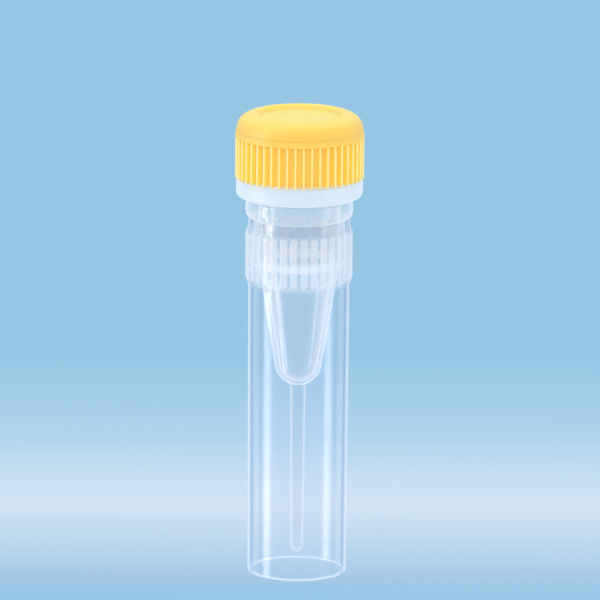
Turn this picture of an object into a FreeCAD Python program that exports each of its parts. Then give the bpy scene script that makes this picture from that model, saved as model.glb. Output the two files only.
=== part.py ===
"""Screw-cap micro tube: a clear vessel with a thin closed stem, set in an open-bottomed sleeve.

The origin is the centre of the sleeve's bottom rim, +Z is up along the tube's axis, and sizes are in mm.
In the sheet, a name that ends in _r is a radius from the axis and one in _z is a height above the rim.
"""

import FreeCAD, Part

import math
import os
import re

import Sketcher

SIZES = {
    # outer sleeve: a drafted tube, open at the bottom, with a socket at its top
    "foot_r": 4.975,
    "foot_bore_r": 4.525,
    "sleeve_top_r": 5.12,
    "sleeve_top_z": 36.6,
    "socket_r": 4.62,
    "socket_floor_z": 31.7,
    # outer sleeve: ribbed collar
    "collar_r": 5.4,
    "collar_inner_r": 5.0,
    "collar_low_z": 29.7,
    "collar_full_low_z": 30.6,
    "collar_full_high_z": 35.05,
    "collar_high_z": 35.67,
    "collar_grooves": 32,
    "collar_groove_floor_r": 5.12,
    "collar_groove_width": 0.26,
    # inner vessel: stem, round bottom and cone
    "stem_tip_r": 0.63,
    "stem_tip_centre_z": 2.48,
    "stem_top_r": 0.76,
    "stem_wall": 0.24,
    "bottom_r": 2.385,
    "bottom_centre_z": 21.62,
    "vessel_wall": 0.42,
    "cone_half_angle": 9.13,
    # inner vessel: plug, bead and neck
    "plug_floor": 0.65,
    "plug_floor_fall": 0.25,
    "neck_bore_r": 4.15,
    "bead_low_r": 5.0,
    "bead_r": 5.44,
    "bead_widest_z": 37.5,
    "bead_top_r": 5.3,
    "bead_top_z": 38.5,
    "neck_root_r": 4.65,
    "neck_top_z": 43.95,
    "rim_chamfer": 0.12,
    # right-handed screw thread of the neck and of the cap
    "thread_pitch": 2.5,
    "thread_turns": 1.5,
    "thread_base_width": 0.95,
    "thread_crest_width": 0.45,
    "thread_flank_gap": 0.05,
    "neck_thread_r": 5.08,
    "neck_thread_start_z": 39.5,
    "cap_thread_r": 4.76,
    "cap_thread_start_angle": 150,
    # cap body: flange, threaded wall, top plate and centring ring
    "cap_low_z": 38.8,
    "cap_bore_r": 5.2,
    "cap_mouth_chamfer": 0.2,
    "flange_r": 6.38,
    "flange_edge_r": 0.5,
    "flange_shoulder_z": 40.62,
    "flange_ledge_r": 5.97,
    "flange_top_z": 40.9,
    "cap_wall_r": 5.6,
    "plate_low_z": 44.75,
    "plate_top_z": 45.5,
    "plate_chamfer": 0.45,
    "centring_r": 3.88,
    "centring_bore_r": 3.3,
    "centring_low_z": 43.2,
    "centring_chamfer": 0.25,
    # cap cover: fluted skirt under a smooth band, dome and dish
    "flute_floor_r": 5.97,
    "flute_top_z": 44.95,
    "cover_flutes": 48,
    "flute_width": 0.62,
    "ridge_low_z": 40.72,
    "band_inner_r": 5.8,
    "band_r": 6.5,
    "band_full_z": 45.1,
    "band_top_r": 6.44,
    "band_top_z": 45.63,
    "dome_r": 6.38,
    "cover_top_z": 47.29,
    "cover_core_r": 4.9,
    "cover_core_z": 46.05,
    "shoulder_r": 1.55,
    "shoulder_turn": 70,
    "crest_r": 4.35,
    "dish_r": 3.95,
    "dish_z": 46.9,
    # cap seal: a squeezed ring, flat where it touches the rim and the plate
    "seal_inner_r": 3.96,
    "seal_outer_r": 4.86,
    "seal_edge_r": 0.3,
}

# Formulas of the sheet's names that more than one outline uses.
CONE_SIN = "sin(cone_half_angle * 1deg)"
CONE_COS = "cos(cone_half_angle * 1deg)"
CONE_TAN = "tan(cone_half_angle * 1deg)"
GROOVE_REACH = "0.3"
NEAR_ZERO = 1e-9


def bound(formula):
    """The formula with each of the sheet's names turned into a reference to its cell."""
    return re.sub(r"[a-z]\w*", lambda word: f"Sizes.{word[0]}" if word[0] in SIZES else word[0], formula)


def make_sheet(doc):
    """The driving dimensions, one to a row: the name in column A, the number in column B."""
    sheet = doc.addObject("Spreadsheet::Sheet", "Sizes")
    for row, (alias, number) in enumerate(SIZES.items(), start=1):
        sheet.set(f"A{row}", alias)
        sheet.set(f"B{row}", str(number))
        sheet.setAlias(f"B{row}", alias)
    doc.recompute()
    return sheet


def make_body(doc, name):
    body = doc.addObject("PartDesign::Body", name)
    body.Label = name
    return body


def origin_feature(body, role):
    return next(feature for feature in body.Origin.OriginFeatures if feature.Role == role)


def fix_point(sketch, edge, end, name, formulas):
    """Bind the end of an edge to its two coordinates, or hold it on an axis where one is zero."""
    for kind, axis, formula in zip(("DistanceX", "DistanceY"), (-2, -1), formulas):
        distance = sketch.evalExpression(bound(formula))
        if abs(distance) < NEAR_ZERO:
            sketch.addConstraint(Sketcher.Constraint("PointOnObject", edge, end, axis))
            continue
        constraint = sketch.addConstraint(Sketcher.Constraint(kind, -1, 1, edge, end, distance))
        label = f"{name}_{kind[-1].lower()}"
        sketch.renameConstraint(constraint, label)
        sketch.setExpression(f"Constraints.{label}", bound(formula))


def arc_edge(start, finish, centre):
    """The shorter arc between two points about a centre, and whether it runs from start to finish."""
    angles = [math.atan2(point.y - centre.y, point.x - centre.x) for point in (start, finish)]
    forward = (angles[1] - angles[0]) % math.tau < math.pi
    first, last = angles if forward else reversed(angles)
    circle = Part.Circle(centre, FreeCAD.Vector(0, 0, 1), (start - centre).Length)
    return Part.ArcOfCircle(circle, first, last), forward


def draw_outline(sketch, corners):
    """Draw a closed outline whose corners are bound to the sheet.

    A corner is (x, y), reached by a straight edge, or (x, y, centre x, centre y), reached by an arc.
    """
    def place(formulas):
        return FreeCAD.Vector(*(sketch.evalExpression(bound(formula)) for formula in formulas), 0)

    ends = []
    for index, corner in enumerate(corners):
        before = corners[index - 1]
        start, finish = place(before[:2]), place(corner[:2])
        if len(corner) == 2:
            edge = sketch.addGeometry(Part.LineSegment(start, finish))
            ends.append((edge, 1, 2))
            continue
        arc, forward = arc_edge(start, finish, place(corner[2:]))
        edge = sketch.addGeometry(arc)
        ends.append((edge, 1, 2) if forward else (edge, 2, 1))
        x, y, centre_x, centre_y = corner
        radius = f"sqrt(({x} - ({centre_x})) ^ 2 + ({y} - ({centre_y})) ^ 2)"
        length = sketch.evalExpression(bound(radius))
        constraint = sketch.addConstraint(Sketcher.Constraint("Radius", edge, length))
        sketch.renameConstraint(constraint, f"arc{edge}")
        sketch.setExpression(f"Constraints.arc{edge}", bound(radius))
    for index, (edge, _, end) in enumerate(ends):
        following, start, _ = ends[(index + 1) % len(ends)]
        sketch.addConstraint(Sketcher.Constraint("Coincident", edge, end, following, start))
        fix_point(sketch, edge, end, f"corner{index}", corners[index][:2])


def make_sketch(body, name, role, corners, height="0", turn="0"):
    """A sketch on one of the body's own origin planes, moved up by height or turned about Z."""
    sketch = body.newObject("Sketcher::SketchObject", name)
    sketch.AttachmentSupport = (origin_feature(body, role), [""])
    sketch.MapMode = "FlatFace"
    up = sketch.evalExpression(bound(height))
    angle = sketch.evalExpression(bound(turn))
    sketch.AttachmentOffset = FreeCAD.Placement(
        FreeCAD.Vector(0, 0, up), FreeCAD.Rotation(FreeCAD.Vector(0, 1, 0), angle)
    )
    if up:
        sketch.setExpression(".AttachmentOffset.Base.z", bound(height))
    draw_outline(sketch, corners)
    return sketch


def revolve(body, name, corners):
    """A solid of revolution about Z, from an outline of (radius, height) corners."""
    sketch = make_sketch(body, f"{name}_outline", "XZ_Plane", corners)
    turned = body.newObject("PartDesign::Revolution", name)
    turned.Profile = sketch
    turned.ReferenceAxis = (sketch, ["V_Axis"])
    turned.Angle = 360
    body.Document.recompute()
    return turned


def cut_grooves(body, name, floor_r, rim_r, width, low_z, high_z, count):
    """Upright grooves round the body, from low_z to high_z, as a pocket in a polar pattern."""
    half = f"{width} / 2"
    reach = f"{rim_r} + {GROOVE_REACH}"
    corners = [(floor_r, f"-{half}"), (reach, f"-{half}"), (reach, half), (floor_r, half)]
    solid_before = body.Shape.Volume
    sketch = make_sketch(body, f"{name}_outline", "XY_Plane", corners, height=high_z)
    groove = body.newObject("PartDesign::Pocket", f"{name}_first")
    groove.Profile = sketch
    groove.Type = "Length"
    groove.setExpression("Length", bound(f"{high_z} - {low_z}"))
    body.Document.recompute()
    pattern = body.newObject("PartDesign::PolarPattern", name)
    pattern.Originals = [groove]
    pattern.Axis = (origin_feature(body, "Z_Axis"), [""])
    pattern.Angle = 360
    pattern.setExpression("Occurrences", bound(count))
    body.Tip = pattern
    body.Document.recompute()
    if body.Shape.Volume >= solid_before:
        raise RuntimeError(f"{name}: the grooves removed nothing")


def add_thread(body, name, wall_r, crest_r, start_z, turn="0"):
    """A right-handed ridge wound about Z. The base reaches into the wall that it stands on."""
    half_base = "thread_base_width / 2"
    half_crest = "thread_crest_width / 2"
    corners = [
        (wall_r, f"{start_z} - {half_base}"),
        (crest_r, f"{start_z} - {half_crest}"),
        (crest_r, f"{start_z} + {half_crest}"),
        (wall_r, f"{start_z} + {half_base}"),
    ]
    solid_before = body.Shape.Volume
    sketch = make_sketch(body, f"{name}_outline", "XZ_Plane", corners, turn=turn)
    ridge = body.newObject("PartDesign::AdditiveHelix", name)
    ridge.Profile = sketch
    ridge.ReferenceAxis = (sketch, ["V_Axis"])
    ridge.Mode = "pitch-turns-angle"
    ridge.setExpression("Pitch", bound("thread_pitch"))
    ridge.setExpression("Turns", bound("thread_turns"))
    ridge.LeftHanded = False
    ridge.Reversed = False
    body.Document.recompute()
    if body.Shape.Volume <= solid_before:
        raise RuntimeError(f"{name}: the ridge added nothing")


def make_outer_sleeve(doc):
    """Clear tube, open at the bottom, with a ribbed collar and a socket for the vessel."""
    body = make_body(doc, "outer_sleeve")
    revolve(body, "sleeve_wall", [
        ("foot_bore_r", "0"),
        ("foot_r", "0"),
        ("sleeve_top_r", "sleeve_top_z"),
        ("socket_r", "sleeve_top_z"),
        ("socket_r", "socket_floor_z"),
    ])
    revolve(body, "collar", [
        ("collar_inner_r", "collar_low_z"),
        ("collar_groove_floor_r", "collar_low_z"),
        ("collar_r", "collar_full_low_z"),
        ("collar_r", "collar_full_high_z"),
        ("collar_groove_floor_r", "collar_high_z"),
        ("collar_inner_r", "collar_high_z"),
    ])
    cut_grooves(
        body, "collar_grooves_cut", "collar_groove_floor_r", "collar_r", "collar_groove_width",
        "collar_low_z", "collar_high_z", "collar_grooves",
    )
    return body


def bottom_corners(radius):
    """Where a sphere about the round bottom's centre meets the cone that is tangent to it."""
    return f"({radius}) * {CONE_COS}", f"bottom_centre_z - ({radius}) * {CONE_SIN}"


def cone_radius(radius, height):
    """The radius at a height of the cone that is tangent to a sphere about the round bottom's centre."""
    return f"({radius}) / {CONE_COS} + ({height} - bottom_centre_z) * {CONE_TAN}"


def stem_mouth(sphere_r, stem_r):
    """The height at which a stem of this radius leaves a sphere about the round bottom's centre."""
    return f"bottom_centre_z - sqrt(({sphere_r}) ^ 2 - ({stem_r}) ^ 2)"


def bulge_r(reach, rise):
    """The radius of an arc that starts upright and moves sideways by reach over a height of rise."""
    return f"(({reach}) ^ 2 + ({rise}) ^ 2) / (2 * ({reach}))"


def make_inner_vessel(doc):
    """Clear vessel in one piece: threaded neck, bead, plug, cone, round bottom and hollow closed stem."""
    body = make_body(doc, "inner_vessel")
    inner_r = "bottom_r - vessel_wall"
    stem_bore_r = "stem_top_r - stem_wall"
    tip_bore_r = "stem_tip_r - stem_wall"
    floor_low_z = "socket_floor_z + plug_floor"
    floor_high_z = f"{floor_low_z} + plug_floor_fall"
    low_bulge = bulge_r("bead_r - bead_low_r", "bead_widest_z - sleeve_top_z")
    high_bulge = bulge_r("bead_r - bead_top_r", "bead_top_z - bead_widest_z")
    revolve(body, "vessel_wall_turned", [
        ("0", "stem_tip_centre_z - stem_tip_r"),
        ("stem_tip_r", "stem_tip_centre_z", "0", "stem_tip_centre_z"),
        ("stem_top_r", stem_mouth("bottom_r", "stem_top_r")),
        (*bottom_corners("bottom_r"), "0", "bottom_centre_z"),
        (cone_radius("bottom_r", "socket_floor_z"), "socket_floor_z"),
        ("socket_r", "socket_floor_z"),
        ("socket_r", "sleeve_top_z"),
        ("bead_low_r", "sleeve_top_z"),
        ("bead_r", "bead_widest_z", f"bead_r - {low_bulge}", "bead_widest_z"),
        ("bead_top_r", "bead_top_z", f"bead_r - {high_bulge}", "bead_widest_z"),
        ("neck_root_r", "bead_top_z"),
        ("neck_root_r", "neck_top_z - rim_chamfer"),
        ("neck_root_r - rim_chamfer", "neck_top_z"),
        ("neck_bore_r + rim_chamfer", "neck_top_z"),
        ("neck_bore_r", "neck_top_z - rim_chamfer"),
        ("neck_bore_r", floor_high_z),
        (cone_radius(inner_r, floor_low_z), floor_low_z),
        bottom_corners(inner_r),
        (stem_bore_r, stem_mouth(inner_r, stem_bore_r), "0", "bottom_centre_z"),
        (tip_bore_r, "stem_tip_centre_z"),
        ("0", f"stem_tip_centre_z - ({tip_bore_r})", "0", "stem_tip_centre_z"),
    ])
    add_thread(
        body, "neck_thread", "neck_root_r - thread_flank_gap", "neck_thread_r", "neck_thread_start_z"
    )
    return body


def make_cap_body(doc):
    """Milky closure: flange with a sloping ledge, threaded wall, top plate and centring ring."""
    body = make_body(doc, "cap_body")
    edge_centre = ("flange_r - flange_edge_r", "cap_low_z + flange_edge_r")
    revolve(body, "cap_wall", [
        ("cap_bore_r + cap_mouth_chamfer", "cap_low_z"),
        ("flange_r - flange_edge_r", "cap_low_z"),
        ("flange_r", "cap_low_z + flange_edge_r", *edge_centre),
        ("flange_r", "flange_shoulder_z"),
        ("flange_ledge_r", "flange_top_z"),
        ("cap_wall_r", "flange_top_z"),
        ("cap_wall_r", "plate_top_z - plate_chamfer"),
        ("cap_wall_r - plate_chamfer", "plate_top_z"),
        ("0", "plate_top_z"),
        ("0", "plate_low_z"),
        ("centring_bore_r", "plate_low_z"),
        ("centring_bore_r", "centring_low_z"),
        ("centring_r - centring_chamfer", "centring_low_z"),
        ("centring_r", "centring_low_z + centring_chamfer"),
        ("centring_r", "plate_low_z"),
        ("cap_bore_r", "plate_low_z"),
        ("cap_bore_r", "cap_low_z + cap_mouth_chamfer"),
    ])
    flank_distance = "(thread_base_width + thread_crest_width) / 2 + thread_flank_gap"
    start_z = f"neck_thread_start_z + thread_pitch * cap_thread_start_angle / 360 - ({flank_distance})"
    add_thread(
        body, "cap_thread", "cap_bore_r + thread_flank_gap", "cap_thread_r", start_z,
        turn="cap_thread_start_angle",
    )
    return body


def make_cap_cover(doc):
    """Coloured cover pressed over the cap body: a fluted skirt and band, a dome and a shallow dish.

    The dome is two arcs: the shoulder turns from the wall by shoulder_turn degrees, and the wider crown
    goes on to the crest, where it is level.
    """
    body = make_body(doc, "cap_cover")
    half_step = "(crest_r - dish_r) / 2"
    half_drop = "(cover_top_z - dish_z) / 2"
    step_r = f"(({half_step}) ^ 2 + ({half_drop}) ^ 2) / (2 * ({half_drop}))"
    shoulder_x = "dome_r - shoulder_r"
    turn_cos = "cos(shoulder_turn * 1deg)"
    turn_sin = "sin(shoulder_turn * 1deg)"
    crown_r = f"(shoulder_r + ({shoulder_x} - crest_r) / {turn_cos})"
    crown_z = f"(cover_top_z - {crown_r})"
    shoulder_z = f"({crown_z} + ({crown_r} - shoulder_r) * {turn_sin})"
    turn_x = f"{shoulder_x} + shoulder_r * {turn_cos}"
    turn_z = f"{shoulder_z} + shoulder_r * {turn_sin}"
    revolve(body, "cover_wall", [
        ("cap_wall_r", "flange_top_z"),
        ("flute_floor_r", "flange_top_z"),
        ("flute_floor_r", "band_top_z"),
        ("dome_r", "band_top_z"),
        ("dome_r", shoulder_z),
        (turn_x, turn_z, shoulder_x, shoulder_z),
        ("crest_r", "cover_top_z", "crest_r", crown_z),
        (f"crest_r - {half_step}", f"cover_top_z - {half_drop}", "crest_r", f"cover_top_z - {step_r}"),
        ("dish_r", "dish_z", "dish_r", f"dish_z + {step_r}"),
        ("0", "dish_z"),
        ("0", "cover_core_z"),
        ("cover_core_r", "cover_core_z"),
        ("cover_core_r", "plate_top_z"),
        ("cap_wall_r - plate_chamfer", "plate_top_z"),
        ("cap_wall_r", "plate_top_z - plate_chamfer"),
    ])
    revolve(body, "band", [
        ("band_inner_r", "flange_top_z"),
        ("flute_floor_r", "flange_top_z"),
        ("band_r", "ridge_low_z"),
        ("band_r", "band_full_z"),
        ("band_top_r", "band_top_z"),
        ("band_inner_r", "band_top_z"),
    ])
    cut_grooves(
        body, "cover_flutes_cut", "flute_floor_r", "band_r", "flute_width",
        "ridge_low_z", "flute_top_z", "cover_flutes",
    )
    return body


def make_cap_seal(doc):
    """Elastic ring squeezed between the neck's rim and the cap body's top plate."""
    body = make_body(doc, "cap_seal")
    inner_flat = "seal_inner_r + seal_edge_r"
    outer_flat = "seal_outer_r - seal_edge_r"
    low_edge = "neck_top_z + seal_edge_r"
    high_edge = "plate_low_z - seal_edge_r"
    revolve(body, "seal_ring", [
        (inner_flat, "neck_top_z"),
        (outer_flat, "neck_top_z"),
        ("seal_outer_r", low_edge, outer_flat, low_edge),
        ("seal_outer_r", high_edge),
        (outer_flat, "plate_low_z", outer_flat, high_edge),
        (inner_flat, "plate_low_z"),
        ("seal_inner_r", high_edge, inner_flat, high_edge),
        ("seal_inner_r", low_edge),
    ])
    return body


def check_objects(doc, parts):
    """Stop if an object failed, or if a sub-part isn't one valid solid."""
    for item in doc.Objects:
        if "Invalid" in item.State or "Error" in item.State:
            raise RuntimeError(f"{item.Name}: {item.State}")
    for part in parts:
        shape = part.Shape
        if shape.isNull() or not shape.isValid() or len(shape.Solids) != 1:
            raise RuntimeError(f"{part.Label}: not one valid solid")


def main():
    doc = FreeCAD.newDocument("micro_tube")
    make_sheet(doc)
    makers = (make_outer_sleeve, make_inner_vessel, make_cap_seal, make_cap_body, make_cap_cover)
    parts = [make(doc) for make in makers]
    doc.recompute()
    check_objects(doc, parts)
    os.makedirs("parts", exist_ok=True)
    for part in parts:
        part.Shape.exportStep(f"parts/{part.Label}.step")
        print(part.Label, round(part.Shape.Volume, 3), "mm3")


main()
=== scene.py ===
"""Looks of the screw-cap micro tube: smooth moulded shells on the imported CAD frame.

Sizes are in mm, and MM turns them into the scene's metres.
"""

import math

import bpy
import numpy as np
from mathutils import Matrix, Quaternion, Vector


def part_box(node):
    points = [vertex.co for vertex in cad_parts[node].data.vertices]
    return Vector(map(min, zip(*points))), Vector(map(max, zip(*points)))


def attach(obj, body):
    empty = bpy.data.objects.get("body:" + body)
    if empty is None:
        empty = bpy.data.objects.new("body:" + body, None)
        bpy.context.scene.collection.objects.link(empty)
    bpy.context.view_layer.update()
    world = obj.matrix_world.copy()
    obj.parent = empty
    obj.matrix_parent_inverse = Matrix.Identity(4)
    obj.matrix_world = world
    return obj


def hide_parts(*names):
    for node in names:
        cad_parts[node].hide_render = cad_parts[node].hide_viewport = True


MM = 0.001

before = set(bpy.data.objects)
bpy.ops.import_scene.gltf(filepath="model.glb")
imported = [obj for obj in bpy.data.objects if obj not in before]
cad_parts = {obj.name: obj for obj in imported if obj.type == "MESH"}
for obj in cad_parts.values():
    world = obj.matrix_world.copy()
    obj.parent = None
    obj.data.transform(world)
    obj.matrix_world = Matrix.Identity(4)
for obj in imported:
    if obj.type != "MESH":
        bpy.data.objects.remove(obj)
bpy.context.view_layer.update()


# ---------------------------------------------------------------- outlines and shells


def rounded(corners, closed, steps=6, support=0.03):
    """Points of an outline whose corners (radius, height, rounding) are filleted, in mm.

    Support points beside each fillet keep the smooth shading of the long straight walls flat.
    """
    points = []
    count = len(corners)
    for index, (x, z, radius) in enumerate(corners):
        here = np.array([x, z])
        if not closed and index in (0, count - 1):
            points.append(here)
            continue
        before = np.array(corners[index - 1][:2]) - here
        after = np.array(corners[(index + 1) % count][:2]) - here
        before_length, after_length = np.linalg.norm(before), np.linalg.norm(after)
        before, after = before / before_length, after / after_length
        half = math.acos(np.clip(before @ after, -1, 1)) / 2
        if radius == 0 or abs(half - math.pi / 2) < 1e-3:
            points.append(here)
            continue
        cut = min(radius / math.tan(half), 0.45 * before_length, 0.45 * after_length)
        radius = cut * math.tan(half)
        centre = here + (before + after) / np.linalg.norm(before + after) * radius / math.sin(half)
        start, finish = here + before * cut, here + after * cut
        if before_length * 0.5 > cut + support:
            points.append(here + before * (cut + support))
        turn = math.pi - 2 * half
        for step in range(steps + 1):
            share = step / steps
            weight_start = math.sin((1 - share) * turn) / math.sin(turn)
            weight_finish = math.sin(share * turn) / math.sin(turn)
            points.append(centre + weight_start * (start - centre) + weight_finish * (finish - centre))
        if after_length * 0.5 > cut + support:
            points.append(here + after * (cut + support))
    return points


def arc(centre, radius, first, last, steps):
    """Points of an arc in the outline's plane. Angles are in degrees from the outward radius, upwards."""
    angles = np.radians(np.linspace(first, last, steps + 1))
    return [np.array(centre) + radius * np.array([math.cos(a), math.sin(a)]) for a in angles]


def shell(name, rows, columns, closed, shape=None):
    """A turned mesh. rows are (radius, height) in mm, columns are angles, and shape may change the radii.

    An open chain of rows starts and ends on the axis.
    """
    rows = np.array(rows, float)
    radii, angles = np.meshgrid(rows[:, 0], columns, indexing="ij")
    heights = np.repeat(rows[:, 1:2], len(columns), axis=1)
    if shape is not None:
        radii = shape(radii, heights, angles)
    points = np.stack([radii * np.cos(angles), radii * np.sin(angles), heights], axis=-1) * MM
    n_columns = radii.shape[1]
    body = points if closed else points[1:-1]
    vertices = list(map(tuple, body.reshape(-1, 3)))
    faces = []
    last = len(body)
    for i in range(last if closed else last - 1):
        for j in range(n_columns):
            k = (j + 1) % n_columns
            here, above = i * n_columns, (i + 1) % last * n_columns
            faces.append((here + j, here + k, above + k, above + j))
    if not closed:
        for row, end, flip in ((0, points[0, 0], False), (last - 1, points[-1, 0], True)):
            pole = len(vertices)
            vertices.append(tuple(end))
            for j in range(n_columns):
                pair = (row * n_columns + j, row * n_columns + (j + 1) % n_columns)
                faces.append((pole, *(pair if flip else reversed(pair))))
    mesh = bpy.data.meshes.new(name)
    mesh.from_pydata(vertices, [], faces)
    mesh.polygons.foreach_set("use_smooth", [True] * len(mesh.polygons))
    mesh.update()
    piece = bpy.data.objects.new(name, mesh)
    bpy.context.scene.collection.objects.link(piece)
    return piece


def even_columns(count):
    return np.linspace(0, math.tau, count, endpoint=False)


def groove_mask(angles, count, radius, width, edge):
    """1 in the upright grooves, 0 on the ribs between them, with sides that are edge wide, in mm."""
    pitch = math.tau / count
    offset = np.abs((angles + pitch / 2) % pitch - pitch / 2) * radius
    share = np.clip((width / 2 + edge / 2 - offset) / edge, 0, 1)
    return share * share * (3 - 2 * share)


def groove_columns(count, radius, width, edge, rib_columns=4, side_columns=5):
    """Angles that follow the grooves closely and the ribs loosely."""
    pitch = math.tau / count
    inner, outer = (width / 2 - edge / 2) / radius, (width / 2 + edge / 2) / radius
    side = list(np.linspace(inner, outer, side_columns))
    rib = list(np.linspace(outer, pitch - outer, rib_columns + 1))[1:-1]
    local = [0.0, *side, *rib, *(pitch - a for a in reversed(side))]
    return np.array([index * pitch + a for index in range(count) for a in local])


# ---------------------------------------------------------------- the five pieces

SLEEVE_TOP_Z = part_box("outer_sleeve")[1].z / MM
COVER_TOP_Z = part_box("cap_cover")[1].z / MM
RIM_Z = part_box("inner_vessel")[1].z / MM
CAP_LOW_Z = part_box("cap_body")[0].z / MM
PLATE_TOP_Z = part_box("cap_body")[1].z / MM
RIDGE_LOW_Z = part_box("cap_cover")[0].z / MM
SEAL_LOW, SEAL_HIGH = (corner.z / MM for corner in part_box("cap_seal"))

SLEEVE_FOOT_R, SLEEVE_FOOT_BORE_R, SLEEVE_TOP_R, SOCKET_R = 4.975, 4.525, 5.12, 4.62
SOCKET_FLOOR_Z = 31.7
COLLAR_R, COLLAR_FLOOR_R = 5.4, 5.12
COLLAR_HEIGHTS = (29.7, 30.6, 35.05, 35.67)
COLLAR_GROOVES, COLLAR_GROOVE_WIDTH = 32, 0.26


def sleeve_wall_r(height):
    return SLEEVE_FOOT_R + (SLEEVE_TOP_R - SLEEVE_FOOT_R) * height / SLEEVE_TOP_Z


def make_sleeve():
    low, full_low, full_high, high = COLLAR_HEIGHTS
    corners = [
        (SLEEVE_FOOT_BORE_R, 0, 0.12),
        (SLEEVE_FOOT_R, 0, 0.12),
        (sleeve_wall_r(low), low, 0.05),
        (COLLAR_R, full_low, 0.12),
        (COLLAR_R, full_high, 0.1),
        (COLLAR_FLOOR_R + 0.03, high, 0.05),
        (SLEEVE_TOP_R, SLEEVE_TOP_Z, 0.1),
        (SOCKET_R, SLEEVE_TOP_Z, 0.08),
        (SOCKET_R, SOCKET_FLOOR_Z, 0.3),
    ]
    rows = rounded(corners, closed=True)
    edge = 0.1

    def cut(radii, _heights, angles):
        mask = groove_mask(angles, COLLAR_GROOVES, COLLAR_R, COLLAR_GROOVE_WIDTH, edge)
        outside = radii > COLLAR_FLOOR_R
        return np.where(outside, radii - mask * (radii - COLLAR_FLOOR_R), radii)

    columns = groove_columns(COLLAR_GROOVES, COLLAR_R, COLLAR_GROOVE_WIDTH, edge)
    return shell("sleeve_shell", rows, columns, closed=True, shape=cut)


STEM_TIP_R, STEM_TIP_Z, STEM_TOP_R, STEM_WALL = 0.63, 2.48, 0.76, 0.24
BOTTOM_R, BOTTOM_Z, VESSEL_WALL = 2.385, 21.62, 0.42
CONE_ANGLE = 9.13
PLUG_GAP, PLUG_FLOOR = 0.012, 0.65
NECK_BORE_R, NECK_ROOT_R, NECK_THREAD_R = 4.15, 4.65, 5.08
BEAD = {
    "low_r": 5.0,
    "turn_r": 5.33, "turn_z": 36.92,
    "wide_r": 5.44, "wide_z": 37.45,
    "top_r": 5.3, "top_z": 38.5,
}
PITCH, THREAD_TURNS = 2.5, 1.5
THREAD_BASE, THREAD_CREST, THREAD_FADE_TURNS = 0.95, 0.45, 0.06
THREAD_ROW_STEP, TURNED_COLUMNS = 0.05, 288
NECK_THREAD_Z, CAP_THREAD_R, CAP_THREAD_TURN = 39.5, 4.76, 150
FLANK_GAP = 0.05


def cone_r(sphere_r, height):
    """Radius, at a height, of the cone that touches the round bottom of radius sphere_r."""
    angle = math.radians(CONE_ANGLE)
    return sphere_r / math.cos(angle) + (height - BOTTOM_Z) * math.tan(angle)


def thread_height(heights, angles, start_z, start_turn):
    """Share of the full ridge, 0 to 1, of a right-handed thread with run-out at both ends."""
    turned = (angles - math.radians(start_turn)) % math.tau / math.tau
    best = np.zeros_like(heights)
    for turn in range(math.ceil(THREAD_TURNS) + 1):
        along = turned + turn
        centre = start_z + PITCH * along
        offset = np.abs(heights - centre)
        share = np.clip((THREAD_BASE / 2 - offset) / (THREAD_BASE / 2 - THREAD_CREST / 2), 0, 1)
        fade = np.clip(np.minimum(along, THREAD_TURNS - along) / THREAD_FADE_TURNS, 0, 1)
        share = share * share * (3 - 2 * share) * fade * fade * (3 - 2 * fade)
        best = np.maximum(best, share)
    return best


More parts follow.
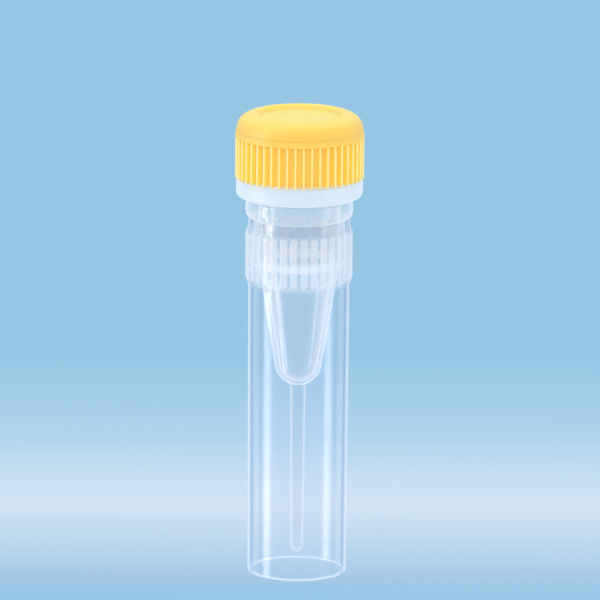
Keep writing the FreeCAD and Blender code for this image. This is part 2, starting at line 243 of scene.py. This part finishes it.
def make_vessel():
    inner_r = BOTTOM_R - VESSEL_WALL
    bore_r = STEM_TOP_R - STEM_WALL
    tip_bore_r = STEM_TIP_R - STEM_WALL
    floor_z = SOCKET_FLOOR_Z + PLUG_FLOOR
    stem_z = BOTTOM_Z - math.sqrt(BOTTOM_R**2 - STEM_TOP_R**2)
    bore_z = BOTTOM_Z - math.sqrt(inner_r**2 - bore_r**2)
    outer_start = math.degrees(math.asin((stem_z - BOTTOM_Z) / BOTTOM_R))
    inner_start = math.degrees(math.asin((bore_z - BOTTOM_Z) / inner_r))
    plug_r = SOCKET_R - PLUG_GAP
    outside = [
        *arc((0, STEM_TIP_Z), STEM_TIP_R, -90, 0, 12),
        (STEM_TIP_R, STEM_TIP_Z + 0.05),
        (STEM_TOP_R, stem_z - 0.15),
        (STEM_TOP_R + 0.02, stem_z - 0.04),
        *arc((0, BOTTOM_Z), BOTTOM_R, outer_start + 2, -CONE_ANGLE, 20),
    ]
    plug_and_bead = rounded([
        (cone_r(BOTTOM_R, SOCKET_FLOOR_Z - 1), SOCKET_FLOOR_Z - 1, 0),
        (cone_r(BOTTOM_R, SOCKET_FLOOR_Z), SOCKET_FLOOR_Z, 0.1),
        (plug_r, SOCKET_FLOOR_Z, 0.12),
        (plug_r, SLEEVE_TOP_Z + PLUG_GAP, 0.05),
        (BEAD["low_r"], SLEEVE_TOP_Z + PLUG_GAP, 0.05),
        (BEAD["turn_r"], BEAD["turn_z"], 0.35),
        (BEAD["wide_r"], BEAD["wide_z"], 0.7),
        (BEAD["wide_r"] - 0.02, BEAD["wide_z"] + 0.35, 0.7),
        (BEAD["top_r"], BEAD["top_z"], 0.12),
        (NECK_ROOT_R, BEAD["top_z"], 0.08),
        (NECK_ROOT_R, BEAD["top_z"] + 0.4, 0),
    ], closed=False)
    rim = rounded([
        (NECK_ROOT_R, RIM_Z - 0.3, 0),
        (NECK_ROOT_R, RIM_Z, 0.12),
        (NECK_BORE_R, RIM_Z, 0.12),
        (NECK_BORE_R, floor_z + 0.25, 0.2),
        (cone_r(inner_r, floor_z), floor_z, 0.2),
        (cone_r(inner_r, floor_z - 1), floor_z - 1, 0),
    ], closed=False)
    inside = [
        *arc((0, BOTTOM_Z), inner_r, -CONE_ANGLE, inner_start + 4, 20),
        (bore_r + 0.015, bore_z - 0.06),
        (bore_r, bore_z - 0.16),
        (tip_bore_r, STEM_TIP_Z + 0.05),
        *arc((0, STEM_TIP_Z), tip_bore_r, 0, -90, 12),
    ]
    neck_heights = np.arange(BEAD["top_z"] + 0.1, RIM_Z - 0.12, THREAD_ROW_STEP)
    neck = [(NECK_ROOT_R, z) for z in neck_heights if plug_and_bead[-1][1] < z < rim[0][1]]
    rows = [*outside, *plug_and_bead, *neck, *rim, *inside]

    def wind(radii, heights, angles):
        share = thread_height(heights, angles, NECK_THREAD_Z, 0)
        on_neck = (radii > NECK_BORE_R + 0.3) & (heights > BEAD["top_z"] + 0.05)
        ridge_r = NECK_ROOT_R + share * (NECK_THREAD_R - NECK_ROOT_R)
        return np.where(on_neck, np.maximum(radii, ridge_r), radii)

    return shell("vessel_shell", rows, even_columns(TURNED_COLUMNS), closed=False, shape=wind)


CAP_BORE_R, CAP_WALL_R, FLANGE_R, PLATE_CHAMFER = 5.2, 5.6, 6.38, 0.45
FLANGE_SHOULDER_Z, LEDGE_R, FLANGE_TOP_Z = 40.62, 5.97, 40.9
PLATE_LOW_Z = SEAL_HIGH
CENTRING_R, CENTRING_BORE_R, CENTRING_Z = 3.88, 3.3, 43.2


def make_cap_body():
    corners = [
        (0, PLATE_TOP_Z, 0),
        (CAP_WALL_R - PLATE_CHAMFER, PLATE_TOP_Z, 0.1),
        (CAP_WALL_R, PLATE_TOP_Z - PLATE_CHAMFER, 0.1),
        (CAP_WALL_R, FLANGE_TOP_Z, 0.05),
        (LEDGE_R, FLANGE_TOP_Z, 0.05),
        (FLANGE_R, FLANGE_SHOULDER_Z, 0.08),
        (FLANGE_R, CAP_LOW_Z, 0.5),
        (CAP_BORE_R, CAP_LOW_Z, 0.15),
    ]
    outside = rounded([*corners, (CAP_BORE_R, CAP_LOW_Z + 0.5, 0)], closed=False)
    bore_heights = np.arange(CAP_LOW_Z + 0.55, PLATE_LOW_Z - 0.3, THREAD_ROW_STEP)
    bore = [(CAP_BORE_R, z) for z in bore_heights]
    inside = rounded([
        (CAP_BORE_R, PLATE_LOW_Z - 0.25, 0),
        (CAP_BORE_R, PLATE_LOW_Z, 0.1),
        (CENTRING_R, PLATE_LOW_Z, 0.05),
        (CENTRING_R, CENTRING_Z, 0.2),
        (CENTRING_BORE_R, CENTRING_Z, 0.1),
        (CENTRING_BORE_R, PLATE_LOW_Z, 0.1),
        (0, PLATE_LOW_Z, 0),
    ], closed=False)
    distance = (THREAD_BASE + THREAD_CREST) / 2 + FLANK_GAP
    start_z = NECK_THREAD_Z + PITCH * CAP_THREAD_TURN / 360 - distance

    def wind(radii, heights, angles):
        share = thread_height(heights, angles, start_z, CAP_THREAD_TURN)
        on_bore = (np.abs(radii - CAP_BORE_R) < 0.02) & (heights < PLATE_LOW_Z - 0.2)
        return np.where(on_bore, radii - share * (CAP_BORE_R - CAP_THREAD_R), radii)

    rows = [*outside, *bore, *inside]
    return shell("cap_body_shell", rows, even_columns(TURNED_COLUMNS), closed=False, shape=wind)


BAND_R, BAND_FULL_Z, BAND_TOP_R, BAND_TOP_Z = 6.5, 45.1, 6.44, 45.63
COVER_FLUTES, FLUTE_WIDTH, FLUTE_FLOOR_R, FLUTE_TOP_Z = 48, 0.62, 5.97, 44.95
DOME_R, SHOULDER_R, SHOULDER_TURN = 6.38, 1.55, 70
CREST_R, DISH_R, DISH_Z = 4.35, 3.95, 46.9
CORE_R, CORE_Z = 4.9, 46.05


def dome_outline():
    """The crown's wide arc from the crest, then the shoulder's small arc down to the wall."""
    shoulder_x = DOME_R - SHOULDER_R
    turn = math.radians(SHOULDER_TURN)
    crown_r = SHOULDER_R + (shoulder_x - CREST_R) / math.cos(turn)
    crown_z = COVER_TOP_Z - crown_r
    shoulder_z = crown_z + (crown_r - SHOULDER_R) * math.sin(turn)
    return [
        *arc((CREST_R, crown_z), crown_r, 89, SHOULDER_TURN + 3, 5),
        *arc((shoulder_x, shoulder_z), SHOULDER_R, SHOULDER_TURN, 0, 16),
    ]


def make_cover():
    gentle, flat = 0.35, 0.8
    dish = [(0, DISH_Z), *((DISH_R * share, DISH_Z) for share in (0.1, 0.3, 0.5, 0.7, flat))]
    crest = rounded([
        (DISH_R * flat, DISH_Z, 0),
        (DISH_R, DISH_Z, gentle),
        (CREST_R, COVER_TOP_Z, gentle),
        dome_outline()[0].tolist() + [0],
    ], closed=False)[1:-1]
    band = [
        (DOME_R + 0.025, BAND_TOP_Z - 0.05),
        (BAND_TOP_R, BAND_TOP_Z - 0.12),
        (BAND_TOP_R + 0.01, BAND_TOP_Z - 0.25),
        (BAND_R - 0.01, BAND_FULL_Z + 0.1),
        (BAND_R, BAND_FULL_Z),
        (BAND_R, FLUTE_TOP_Z),
    ]
    ceiling = [(BAND_R, FLUTE_TOP_Z - drop) for drop in (0.03, 0.06, 0.09, 0.12, 0.16, 0.3)]
    skirt = rounded([
        (BAND_R, RIDGE_LOW_Z + 1, 0),
        (BAND_R, RIDGE_LOW_Z, 0.05),
        (FLUTE_FLOOR_R, FLANGE_TOP_Z + PLUG_GAP, 0.02),
        (CAP_WALL_R + PLUG_GAP, FLANGE_TOP_Z + PLUG_GAP, 0.05),
        (CAP_WALL_R + PLUG_GAP, PLATE_TOP_Z - PLATE_CHAMFER, 0.1),
        (CAP_WALL_R - PLATE_CHAMFER, PLATE_TOP_Z + PLUG_GAP, 0.1),
        (CORE_R, PLATE_TOP_Z + PLUG_GAP, 0.05),
        (CORE_R, CORE_Z, 0.15),
        (0, CORE_Z, 0),
    ], closed=False)
    edge, run_out = 0.12, 0.12

    def cut(radii, heights, angles):
        mask = groove_mask(angles, COVER_FLUTES, BAND_R, FLUTE_WIDTH, edge)
        below = np.clip((FLUTE_TOP_Z - heights) / run_out, 0, 1)
        mask = mask * np.where(radii > FLUTE_FLOOR_R, below, 0)
        return radii - mask * (radii - FLUTE_FLOOR_R)

    columns = groove_columns(COVER_FLUTES, BAND_R, FLUTE_WIDTH, edge)
    rows = [*dish, *crest, *dome_outline(), *band, *ceiling, *skirt]
    return shell("cover_shell", rows, columns, closed=False, shape=cut)


def make_seal():
    inner, outer, round_r = 3.96, 4.86, 0.3
    corners = [(inner, SEAL_LOW), (outer, SEAL_LOW), (outer, SEAL_HIGH), (inner, SEAL_HIGH)]
    rows = rounded([(*corner, round_r) for corner in corners], closed=True)
    return shell("seal_ring", rows, even_columns(192), closed=True)


# ---------------------------------------------------------------- materials


def linear(red, green, blue):
    """A display colour, 0 to 255, as the linear colour that a shader takes."""
    def one(value):
        value /= 255
        return value / 12.92 if value <= 0.04045 else ((value + 0.055) / 1.055) ** 2.4
    return (one(red), one(green), one(blue), 1.0)


MILK, CAP_MILK = linear(250, 252, 255), linear(226, 236, 247)
# Weak glow that stands in for light scattered inside the plastic.
MILK_GLOW, FLUTE_GLOW = 0.07, 0.17
# Skin tones from square on, 0, to edge on, 1. The sleeve's dips stand in for refraction in its wall.
SLEEVE_TONES = (
    (0.0, (252, 253, 255)), (0.28, (252, 253, 255)), (0.35, (244, 248, 252)), (0.45, (254, 255, 255)),
    (0.54, (248, 251, 254)), (0.62, (212, 226, 241)), (0.72, (242, 247, 252)), (0.8, (255, 255, 255)),
)
VESSEL_TONES = ((0.0, (255, 255, 255)), (1.0, (253, 254, 255)))
EDGE_SHINE, EDGE_SHINE_POWER = 0.6, 5
# The crown's and the dish's colours are painted light from above, and the ridge colour is a painted highlight
# on the ridges' crests.
YELLOW_LOW, YELLOW_CROWN_PAINTED_LIGHT, YELLOW_RIDGE_PAINTED_HIGHLIGHT = (255, 205, 92), (255, 216, 106), (255, 228, 150)
YELLOW_DISH_PAINTED_LIGHT, YELLOW_PAINTED_SHADE, YELLOW_GLOW = (255, 222, 118), (214, 160, 56), (250, 200, 100)
# Shares of the painted shade at the dome's foot and at the flutes' tops.
DOME_FOOT_PAINTED_SHADE, FLUTE_TOP_PAINTED_SHADE = 0.4, 0.272
SEAL_DARK, SEAL_PALE = (206, 206, 198), (222, 222, 217)
RELIEF_DEPTH = 0.0001


def new_material(name):
    material = bpy.data.materials.new(name)
    material.use_nodes = True
    nodes = material.node_tree.nodes
    nodes.clear()
    output = nodes.new("ShaderNodeOutputMaterial")
    return material, nodes, material.node_tree.links, output


def feed(links, socket, value):
    """Link another node's output to the socket, or set a fixed value on it."""
    if isinstance(value, bpy.types.NodeSocket):
        links.new(value, socket)
    else:
        socket.default_value = value


def combine(nodes, links, operation, first, second):
    node = nodes.new("ShaderNodeMath")
    node.operation = operation
    feed(links, node.inputs[0], first)
    feed(links, node.inputs[1], second)
    return node.outputs["Value"]


def rise(nodes, links, source, low, high, top=1.0):
    """A smooth step from 0 to top as the source goes from low to high. low may be the greater of the two."""
    step = nodes.new("ShaderNodeMapRange")
    step.interpolation_type = "SMOOTHSTEP"
    step.inputs["From Min"].default_value = low
    step.inputs["From Max"].default_value = high
    step.inputs["To Max"].default_value = top
    links.new(source, step.inputs["Value"])
    return step.outputs["Result"]


def beyond(nodes, links, reach, radius):
    """0 within the radius and 1 beyond it, in mm, with a step 0.1 mm wide."""
    return rise(nodes, links, reach, (radius - 0.05) * MM, (radius + 0.05) * MM)


def blend_colours(nodes, links, share, first, second):
    """Mix of two colours; each is a socket or a fixed colour."""
    mix = nodes.new("ShaderNodeMix")
    mix.data_type = "RGBA"
    links.new(share, mix.inputs["Factor"])
    feed(links, mix.inputs["A"], first)
    feed(links, mix.inputs["B"], second)
    return mix.outputs["Result"]


def mix_shaders(nodes, links, share, first, second):
    """Mix of two shaders, of which the second has the share."""
    mix = nodes.new("ShaderNodeMixShader")
    feed(links, mix.inputs["Fac"], share)
    links.new(first, mix.inputs[1])
    links.new(second, mix.inputs[2])
    return mix.outputs["Shader"]


def fill_ramp(ramp, stops):
    """Set a colour ramp's stops from (position, display colour) pairs."""
    elements = ramp.color_ramp.elements
    for index, (position, colour) in enumerate(stops):
        stop = elements[index] if index < 2 else elements.new(position)
        stop.position = position
        stop.color = linear(*colour)


def add_bump(nodes, links, shader, scale, strength, stretch=(1, 1, 1)):
    """Fine moulded-surface relief from noise, stretched along the axes. The noise is returned."""
    where = nodes.new("ShaderNodeTexCoord")
    mapping = nodes.new("ShaderNodeMapping")
    mapping.inputs["Scale"].default_value = stretch
    noise = nodes.new("ShaderNodeTexNoise")
    noise.inputs["Scale"].default_value = scale
    noise.inputs["Detail"].default_value = 3
    bump = nodes.new("ShaderNodeBump")
    bump.inputs["Strength"].default_value = strength
    bump.inputs["Distance"].default_value = RELIEF_DEPTH
    links.new(where.outputs["Object"], mapping.inputs["Vector"])
    links.new(mapping.outputs["Vector"], noise.inputs["Vector"])
    links.new(noise.outputs["Fac"], bump.inputs["Height"])
    links.new(bump.outputs["Normal"], shader.inputs["Normal"])
    return noise


def vary_roughness(nodes, links, shader, noise, low, high):
    """Roughness that wanders between low and high with the relief's own noise."""
    spread = nodes.new("ShaderNodeMapRange")
    spread.inputs["From Min"].default_value = 0.3
    spread.inputs["From Max"].default_value = 0.7
    spread.inputs["To Min"].default_value = low
    spread.inputs["To Max"].default_value = high
    links.new(noise.outputs["Fac"], spread.inputs["Value"])
    links.new(spread.outputs["Result"], shader.inputs["Roughness"])


def height_and_reach(nodes, links):
    """The height of a point and its distance from the tube's axis, in metres."""
    where = nodes.new("ShaderNodeTexCoord")
    split = nodes.new("ShaderNodeSeparateXYZ")
    flat = nodes.new("ShaderNodeVectorMath")
    flat.operation = "MULTIPLY"
    flat.inputs[1].default_value = (1, 1, 0)
    reach = nodes.new("ShaderNodeVectorMath")
    reach.operation = "LENGTH"
    links.new(where.outputs["Object"], split.inputs["Vector"])
    links.new(where.outputs["Object"], flat.inputs[0])
    links.new(flat.outputs["Vector"], reach.inputs[0])
    return split.outputs["Z"], reach.outputs["Value"]


def clear_skin(nodes, links, tones, edge_on, roughness, mirror):
    """Tinted see-through skin, of which the share mirror is gloss."""
    ramp = nodes.new("ShaderNodeValToRGB")
    fill_ramp(ramp, tones)
    links.new(edge_on, ramp.inputs["Fac"])
    clear = nodes.new("ShaderNodeBsdfTransparent")
    links.new(ramp.outputs["Color"], clear.inputs["Color"])
    gloss = nodes.new("ShaderNodeBsdfPrincipled")
    gloss.inputs["Base Color"].default_value = (1, 1, 1, 1)
    gloss.inputs["Metallic"].default_value = 1.0
    grain = add_bump(nodes, links, gloss, scale=90, strength=0.01, stretch=(1, 1, 0.2))
    vary_roughness(nodes, links, gloss, grain, 0.75 * roughness, 1.3 * roughness)
    return mix_shaders(nodes, links, mirror, clear.outputs["BSDF"], gloss.outputs["BSDF"])


def milky_scatter(nodes, links, colour, roughness, through):
    """Milky plastic, of which the share through passes light on from behind."""
    back = nodes.new("ShaderNodeBsdfPrincipled")
    back.inputs["Base Color"].default_value = colour
    back.inputs["Emission Color"].default_value = colour
    # A weak painted glow stands in for light scattered inside the plastic.
    back.inputs["Emission Strength"].default_value = MILK_GLOW
    grain = add_bump(nodes, links, back, scale=700, strength=0.08)
    vary_roughness(nodes, links, back, grain, roughness - 0.08, roughness + 0.08)
    onward = nodes.new("ShaderNodeBsdfTranslucent")
    onward.inputs["Color"].default_value = colour
    return mix_shaders(nodes, links, through, back.outputs["BSDF"], onward.outputs["BSDF"])


def clear_plastic(name, tones, milk_colour, milk_roughness, roughness, haze, edge_haze, edge_power,
                  edge_from=0.0, tip_z=None, through=0.0, shine=0.022, gloss_from=-0.1,
                  milk_zones=(), rib_milk=None):
    """Thin clear polypropylene: tinted skin with gloss, and milky scatter where it is thick or seen edge on.

    Radii and heights are in mm.
    haze, edge_haze: the milky share seen square on and, beyond the radius edge_from, at grazing.
    edge_power: how closely the milk at grazing keeps to the edge.
    tip_z: below this height the milk at grazing lies inside edge_from too.
    through: the part of the milk's light that comes from behind it.
    shine, gloss_from: the skin's reflection seen square on, and the radius beyond which it has any.
    milk_zones: (low, full_low, full_high, high, share) each. The share rises from low to full_low and falls
    from full_high to high.
    rib_milk: (height, inner radius, outer radius, share) of ribs milkier than the grooves between them.
    """
    material, nodes, links, output = new_material(name)
    height, reach = height_and_reach(nodes, links)
    view = nodes.new("ShaderNodeLayerWeight")
    view.inputs["Blend"].default_value = 0.5
    facing = view.outputs["Facing"]
    outside = beyond(nodes, links, reach, edge_from)
    if tip_z is not None:
        tip = rise(nodes, links, height, (tip_z + 0.1) * MM, tip_z * MM)
        outside = combine(nodes, links, "MAXIMUM", outside, tip)
    edge_on = combine(nodes, links, "MULTIPLY", facing, outside)

    mirror = combine(nodes, links, "POWER", facing, EDGE_SHINE_POWER)
    mirror = combine(nodes, links, "MULTIPLY", mirror, EDGE_SHINE)
    mirror = combine(nodes, links, "ADD", mirror, shine)
    mirror = combine(nodes, links, "MULTIPLY", mirror, beyond(nodes, links, reach, gloss_from))

    # The milk at grazing is partly real haze and partly a painted highlight: it draws the bright outlines
    # that light caught inside the thin walls gives.
    share = combine(nodes, links, "POWER", edge_on, edge_power)
    share = combine(nodes, links, "MULTIPLY", share, edge_haze - haze)
    share = combine(nodes, links, "ADD", share, haze)
    for low, full_low, full_high, high, milk_share in milk_zones:
        start = rise(nodes, links, height, low * MM, full_low * MM, milk_share)
        stop = rise(nodes, links, height, high * MM, full_high * MM, milk_share)
        share = combine(nodes, links, "MAXIMUM", share, combine(nodes, links, "MINIMUM", start, stop))
    if rib_milk is not None:
        low, inner, outer, milk_share = rib_milk
        on_rib = rise(nodes, links, reach, inner * MM, outer * MM, milk_share)
        above = rise(nodes, links, height, low * MM, (low + 0.2) * MM)
        share = combine(nodes, links, "MAXIMUM", share, combine(nodes, links, "MULTIPLY", on_rib, above))

    skin = clear_skin(nodes, links, tones, edge_on, roughness, mirror)
    milk = milky_scatter(nodes, links, milk_colour, milk_roughness, through)
    links.new(mix_shaders(nodes, links, share, skin, milk), output.inputs["Surface"])
    return material


def yellow_plastic(name):
    """Satin, slightly see-through plastic: paler on the dish, crown and ridges as painted light, with a
    painted glow in the flutes and painted shade at the dome's foot and the flutes' tops.
    """
    material, nodes, links, output = new_material(name)
    height, reach = height_and_reach(nodes, links)
    shader = nodes.new("ShaderNodeBsdfPrincipled")
    shader.inputs["IOR"].default_value = 1.5
    shader.inputs["Subsurface Weight"].default_value = 0.9
    shader.inputs["Subsurface Radius"].default_value = (1.0, 0.65, 0.3)
    shader.inputs["Subsurface Scale"].default_value = 0.0015
    shader.inputs["Emission Color"].default_value = linear(*YELLOW_GLOW)
    outer = rise(nodes, links, reach, (BAND_R - 0.2) * MM, (BAND_R - 0.03) * MM)
    flute = rise(nodes, links, reach, (BAND_R - 0.1) * MM, (BAND_R - 0.4) * MM)
    lower = rise(nodes, links, height, FLUTE_TOP_Z * MM, (FLUTE_TOP_Z - 0.1) * MM)
    # Painted light from above: the crown turns paler towards the top.
    crown = rise(nodes, links, height, (BAND_TOP_Z + 0.7) * MM, (COVER_TOP_Z - 0.1) * MM)
    # Painted highlight along the ridges' crests, where they catch the light.
    ridge = combine(nodes, links, "MULTIPLY", outer, lower)
    # Painted glow in the flutes, for light scattered inside the plastic.
    glow = combine(nodes, links, "MULTIPLY", flute, lower)
    glow = combine(nodes, links, "MULTIPLY", glow, FLUTE_GLOW)
    links.new(glow, shader.inputs["Emission Strength"])
    colour = blend_colours(nodes, links, crown, linear(*YELLOW_LOW), linear(*YELLOW_CROWN_PAINTED_LIGHT))
    colour = blend_colours(nodes, links, ridge, colour, linear(*YELLOW_RIDGE_PAINTED_HIGHLIGHT))
    # Painted light from above: the flat dish is paler.
    dish = rise(nodes, links, reach, (DISH_R + 0.2) * MM, (DISH_R - 0.6) * MM)
    dish = combine(nodes, links, "MULTIPLY", dish, crown)
    colour = blend_colours(nodes, links, dish, colour, linear(*YELLOW_DISH_PAINTED_LIGHT))
    # Painted shade: a darker band at the dome's foot and at the flutes' tops, under their ceilings.
    painted_shades = (
        (BAND_TOP_Z - 0.1, BAND_TOP_Z + 0.05, None, DOME_FOOT_PAINTED_SHADE),
        (FLUTE_TOP_Z - 0.3, FLUTE_TOP_Z, flute, FLUTE_TOP_PAINTED_SHADE),
    )
    for low, high, where, share in painted_shades:
        middle = (low + high) / 2
        start = rise(nodes, links, height, low * MM, middle * MM, share)
        stop = rise(nodes, links, height, high * MM, middle * MM, share)
        painted_shade = combine(nodes, links, "MINIMUM", start, stop)
        if where is not None:
            painted_shade = combine(nodes, links, "MULTIPLY", painted_shade, where)
        colour = blend_colours(nodes, links, painted_shade, colour, linear(*YELLOW_PAINTED_SHADE))
    links.new(colour, shader.inputs["Base Color"])
    grain = add_bump(nodes, links, shader, scale=1200, strength=0.06)
    vary_roughness(nodes, links, shader, grain, low=0.35, high=0.49)
    links.new(shader.outputs["BSDF"], output.inputs["Surface"])
    return material


def seal_rubber(name):
    """Dull elastomer, mottled a little by the grain."""
    material, nodes, links, output = new_material(name)
    shader = nodes.new("ShaderNodeBsdfPrincipled")
    grain = add_bump(nodes, links, shader, scale=1500, strength=0.15)
    vary_roughness(nodes, links, shader, grain, low=0.48, high=0.64)
    colour = blend_colours(nodes, links, grain.outputs["Fac"], linear(*SEAL_DARK), linear(*SEAL_PALE))
    links.new(colour, shader.inputs["Base Color"])
    links.new(shader.outputs["BSDF"], output.inputs["Surface"])
    return material


# ---------------------------------------------------------------- put the pieces on the frame


def fit(piece, body, node, material):
    piece.data.materials.append(material)
    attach(piece, body)
    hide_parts(node)


COLLAR_LOW_Z, COLLAR_HIGH_Z = COLLAR_HEIGHTS[0], COLLAR_HEIGHTS[-1]
fit(make_sleeve(), "tube", "outer_sleeve", clear_plastic(
    "clear_sleeve", SLEEVE_TONES, MILK, milk_roughness=0.3, roughness=0.06,
    haze=0.01, edge_haze=0.8, edge_power=4, edge_from=4.75, through=0.45,
    milk_zones=[
        # Milk at the foot rim: a painted highlight for the bright ring the rounded rim catches.
        (-0.2, -0.1, 0.05, 0.25, 0.5),
        (COLLAR_LOW_Z - 0.1, COLLAR_LOW_Z + 0.2, COLLAR_HIGH_Z - 0.3, COLLAR_HIGH_Z, 0.14),
    ],
    rib_milk=(COLLAR_LOW_Z, 5.15, 5.38, 0.52),
))
fit(make_vessel(), "tube", "inner_vessel", clear_plastic(
    "clear_vessel", VESSEL_TONES, MILK, milk_roughness=0.3, roughness=0.1,
    haze=0.02, edge_haze=1.0, edge_power=2.0, edge_from=0.58, tip_z=STEM_TIP_Z, through=0.15,
    shine=0.035, gloss_from=0.9,
    milk_zones=[
        (SOCKET_FLOOR_Z - 0.3, SOCKET_FLOOR_Z, SOCKET_FLOOR_Z + 0.7, SOCKET_FLOOR_Z + 1.0, 0.65),
        (SLEEVE_TOP_Z, SLEEVE_TOP_Z + 0.2, CAP_LOW_Z, CAP_LOW_Z + 0.2, 0.12),
    ],
))
fit(make_seal(), "cap_riser", "cap_seal", seal_rubber("soft_seal"))
fit(make_cap_body(), "cap", "cap_body", clear_plastic(
    "natural_cap", VESSEL_TONES, CAP_MILK, milk_roughness=0.6, roughness=0.35,
    haze=0.6, edge_haze=1.0, edge_power=1.5,
))
fit(make_cover(), "cap", "cap_cover", yellow_plastic("yellow_cover"))


# ---------------------------------------------------------------- floor, light and camera

# Floor colours by distance behind the tube's axis, in mm.
FLOOR_BAND = (
    (-12, (152, 198, 229)), (-4, (164, 200, 232)), (12, (190, 217, 238)), (26, (208, 227, 242)),
    (40, (198, 223, 242)), (56, (176, 212, 238)), (93, (152, 199, 229)), (140, (151, 198, 228)),
)
FLOOR_FRONT, FLOOR_BACK = FLOOR_BAND[0][0], FLOOR_BAND[-1][0]
# Wall tones by direction, 0 down to 1 up, and how far back in Y the front's give way to the back's.
FRONT_TONES = (
    (0.0, (255, 255, 255)), (0.42, (252, 253, 255)), (0.5, (225, 235, 246)), (0.6, (232, 238, 245)),
    (1.0, (252, 250, 246)),
)
BACK_TONES = ((0.0, (200, 220, 238)), (0.5, (184, 208, 234)), (0.6, (214, 228, 242)), (1.0, (250, 248, 246)))
BACK_REACH, WALL_STRENGTH = (0.25, 0.6), 1.1
# Each strip's angle from the camera's side and width seen from the tube, in degrees, and brightness.
SIDE_STRIPS = (("left_strip", -79, 13, 8.0), ("right_strip", 66, 8, 1.4))
STRIP_COLOUR = (1.0, 0.89, 0.8)


def make_floor():
    """Pale blue floor with a soft band of light across it, behind the tube."""
    size, drop = 3.0, 0.00002
    corners = [(-size, -size, 0), (size, -size, 0), (size, size, 0), (-size, size, 0)]
    mesh = bpy.data.meshes.new("floor")
    mesh.from_pydata(corners, [], [(0, 1, 2, 3)])
    floor = bpy.data.objects.new("floor", mesh)
    bpy.context.scene.collection.objects.link(floor)
    floor.location.z = -drop
    floor.visible_glossy = False
    floor.visible_diffuse = False
    floor.visible_shadow = False
    material, nodes, links, output = new_material("pale_floor")
    place = nodes.new("ShaderNodeNewGeometry")
    split = nodes.new("ShaderNodeSeparateXYZ")
    depth = nodes.new("ShaderNodeMapRange")
    depth.inputs["From Min"].default_value = FLOOR_FRONT * MM
    depth.inputs["From Max"].default_value = FLOOR_BACK * MM
    ramp = nodes.new("ShaderNodeValToRGB")
    length = FLOOR_BACK - FLOOR_FRONT
    fill_ramp(ramp, [((distance - FLOOR_FRONT) / length, colour) for distance, colour in FLOOR_BAND])
    glow = nodes.new("ShaderNodeEmission")
    links.new(place.outputs["Position"], split.inputs["Vector"])
    links.new(split.outputs["Y"], depth.inputs["Value"])
    links.new(depth.outputs["Result"], ramp.inputs["Fac"])
    links.new(ramp.outputs["Color"], glow.inputs["Color"])
    links.new(glow.outputs["Emission"], output.inputs["Surface"])
    mesh.materials.append(material)


def make_world():
    """A studio with white walls in front and a blue one behind, all dimmer towards the horizon."""
    world = bpy.data.worlds.new("studio")
    world.use_nodes = True
    bpy.context.scene.world = world
    nodes, links = world.node_tree.nodes, world.node_tree.links
    nodes.clear()
    output = nodes.new("ShaderNodeOutputWorld")
    walls = nodes.new("ShaderNodeBackground")
    where = nodes.new("ShaderNodeTexCoord")
    split = nodes.new("ShaderNodeSeparateXYZ")
    links.new(where.outputs["Generated"], split.inputs["Vector"])
    spread = nodes.new("ShaderNodeMapRange")
    spread.inputs["From Min"].default_value = -1
    links.new(split.outputs["Z"], spread.inputs["Value"])
    sides = []
    for tones in (FRONT_TONES, BACK_TONES):
        ramp = nodes.new("ShaderNodeValToRGB")
        fill_ramp(ramp, tones)
        links.new(spread.outputs["Result"], ramp.inputs["Fac"])
        sides.append(ramp.outputs["Color"])
    behind = rise(nodes, links, split.outputs["Y"], *BACK_REACH)
    links.new(blend_colours(nodes, links, behind, *sides), walls.inputs["Color"])
    walls.inputs["Strength"].default_value = WALL_STRENGTH
    links.new(walls.outputs["Background"], output.inputs["Surface"])


def make_softbox(name, location, size, brightness, colour=(1, 1, 1), aim_z=0.0, only_gloss=False):
    """A soft light of (width, height) in metres that faces the tube's axis at the height aim_z."""
    data = bpy.data.lights.new(name, "AREA")
    data.shape = "RECTANGLE"
    data.size, data.size_y = size
    data.energy = brightness * math.pi * size[0] * size[1]
    data.color = colour
    lamp = bpy.data.objects.new(name, data)
    bpy.context.scene.collection.objects.link(lamp)
    lamp.location = location
    lamp.rotation_euler = (Vector((0, 0, aim_z)) - Vector(location)).to_track_quat("-Z", "Y").to_euler()
    lamp.visible_camera = False
    lamp.visible_diffuse = not only_gloss


def make_side_strips():
    """Tall narrow lights that draw the upright highlights; each stands at an angle from the camera's side."""
    distance, height = 0.6, 1.2
    for name, turn, spread, brightness in SIDE_STRIPS:
        angle = math.radians(turn)
        place = (distance * math.sin(angle), -distance * math.cos(angle), 0.1)
        width = 2 * distance * math.tan(math.radians(spread) / 2)
        make_softbox(name, place, (width, height), brightness, STRIP_COLOUR, aim_z=0.1, only_gloss=True)


def make_camera():
    elevation, roll = math.radians(12.9), math.radians(0.45)
    target = Vector((0.14 * MM, 0, 28.0 * MM))
    distance = 1000 * MM
    data = bpy.data.cameras.new("camera")
    data.lens, data.sensor_width = 595, 36
    data.clip_start, data.clip_end = 0.05, 5
    camera = bpy.data.objects.new("camera", data)
    bpy.context.scene.collection.objects.link(camera)
    back = Vector((0, -math.cos(elevation), math.sin(elevation)))
    camera.location = target + back * distance
    camera.rotation_mode = "QUATERNION"
    camera.rotation_quaternion = (-back).to_track_quat("-Z", "Y") @ Quaternion((0, 0, 1), roll)
    bpy.context.scene.camera = camera


make_floor()
make_world()
make_softbox("top_softbox", location=(-0.1, -0.15, 0.6), size=(0.5, 0.5), brightness=0.85)
make_side_strips()
make_camera()
bpy.context.scene.view_settings.view_transform = "Standard"
